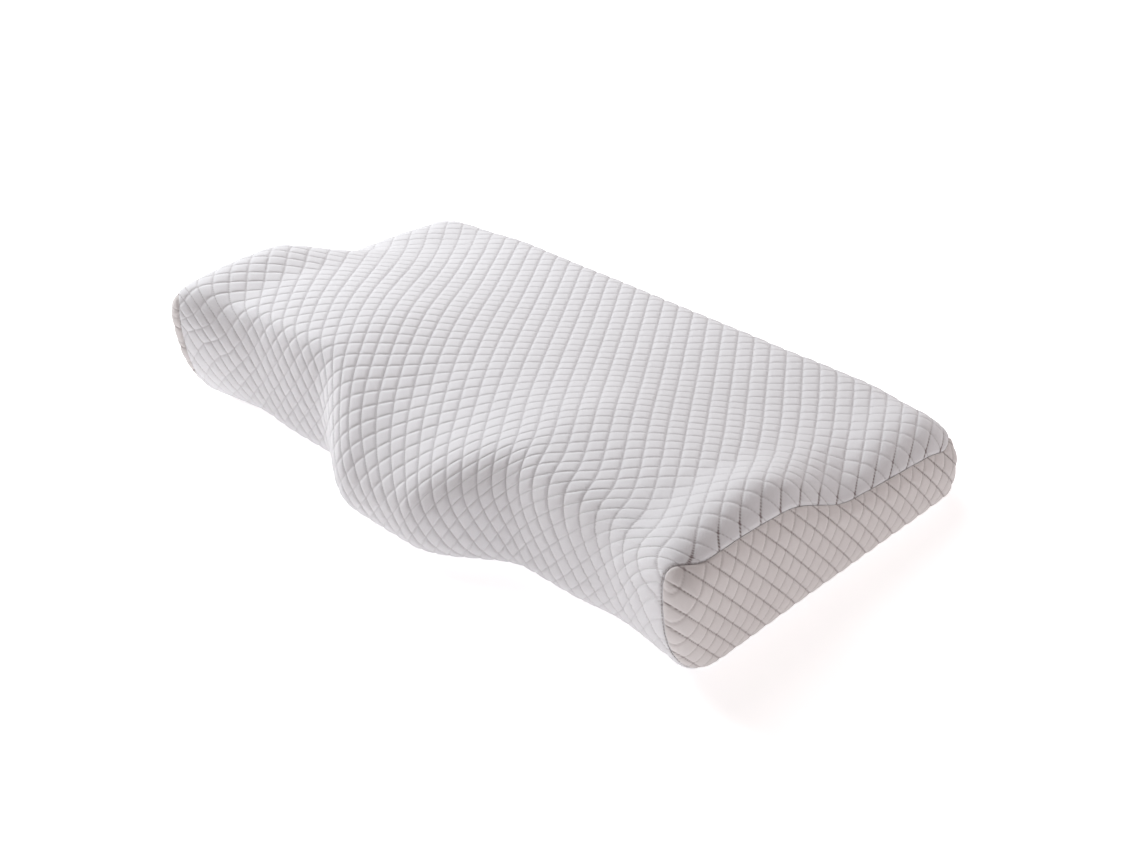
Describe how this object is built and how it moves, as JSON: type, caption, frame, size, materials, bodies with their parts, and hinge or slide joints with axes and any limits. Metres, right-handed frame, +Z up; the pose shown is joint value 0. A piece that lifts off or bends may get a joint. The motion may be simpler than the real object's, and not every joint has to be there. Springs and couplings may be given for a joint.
{
  "type": "contour bed pillow",
  "caption": "Contour bed pillow with raised wings, a neck hollow and a low rear plateau: foam core, knit liner and quilted zip cover.",
  "frame": {"origin": "middle of the footprint, on the plane the pillow lies on", "axes": "+X along the sleeper's shoulders, -Y toward the neck edge with the lobe, +Y toward the zip edge, +Z up"},
  "size_m": [0.6, 0.3698, 0.1216],
  "materials": {
    "foam": "open-cell moulded foam, matt",
    "liner_knit": "fine single knit, matt",
    "quilted_knit": "quilted knit with puffed diamond cells, soft sheen",
    "underside_knit": "plain air-mesh knit, matt",
    "seam_thread": "polyester thread, satin",
    "zip_tape": "woven tape, matt",
    "zip_coil": "nylon coil, satin",
    "zip_metal": "white lacquered zinc, satin"
  },
  "bodies": {
    "pillow": {"foam_core": "foam", "core_liner": "liner_knit", "cover_top": "quilted_knit", "cover_bottom": "underside_knit", "end_panel_left": "quilted_knit", "end_panel_right": "quilted_knit", "end_seam_left": "seam_thread", "end_seam_right": "seam_thread", "front_seam": "seam_thread", "zip_tape_upper": "zip_tape", "zip_tape_lower": "zip_tape", "zip_coil_upper": "zip_coil", "zip_coil_lower": "zip_coil", "zip_top_stops": "zip_metal", "zip_bottom_stop": "zip_metal"},
    "slider": {"zip_slider": "zip_metal"},
    "pull": {"zip_pull": "zip_metal"}
  },
  "joints": [
    {"name": "zip_slide", "type": "slide", "parent": "pillow", "child": "slider", "axis": [-1, 0, 0], "range_m": [0, 0.351]},
    {"name": "pull_hinge", "type": "hinge", "parent": "slider", "child": "pull", "pos_m": [0.176, 0.1829, 0.037], "axis": [0, 0, -1], "range_deg": [0, 170]}
  ]
}
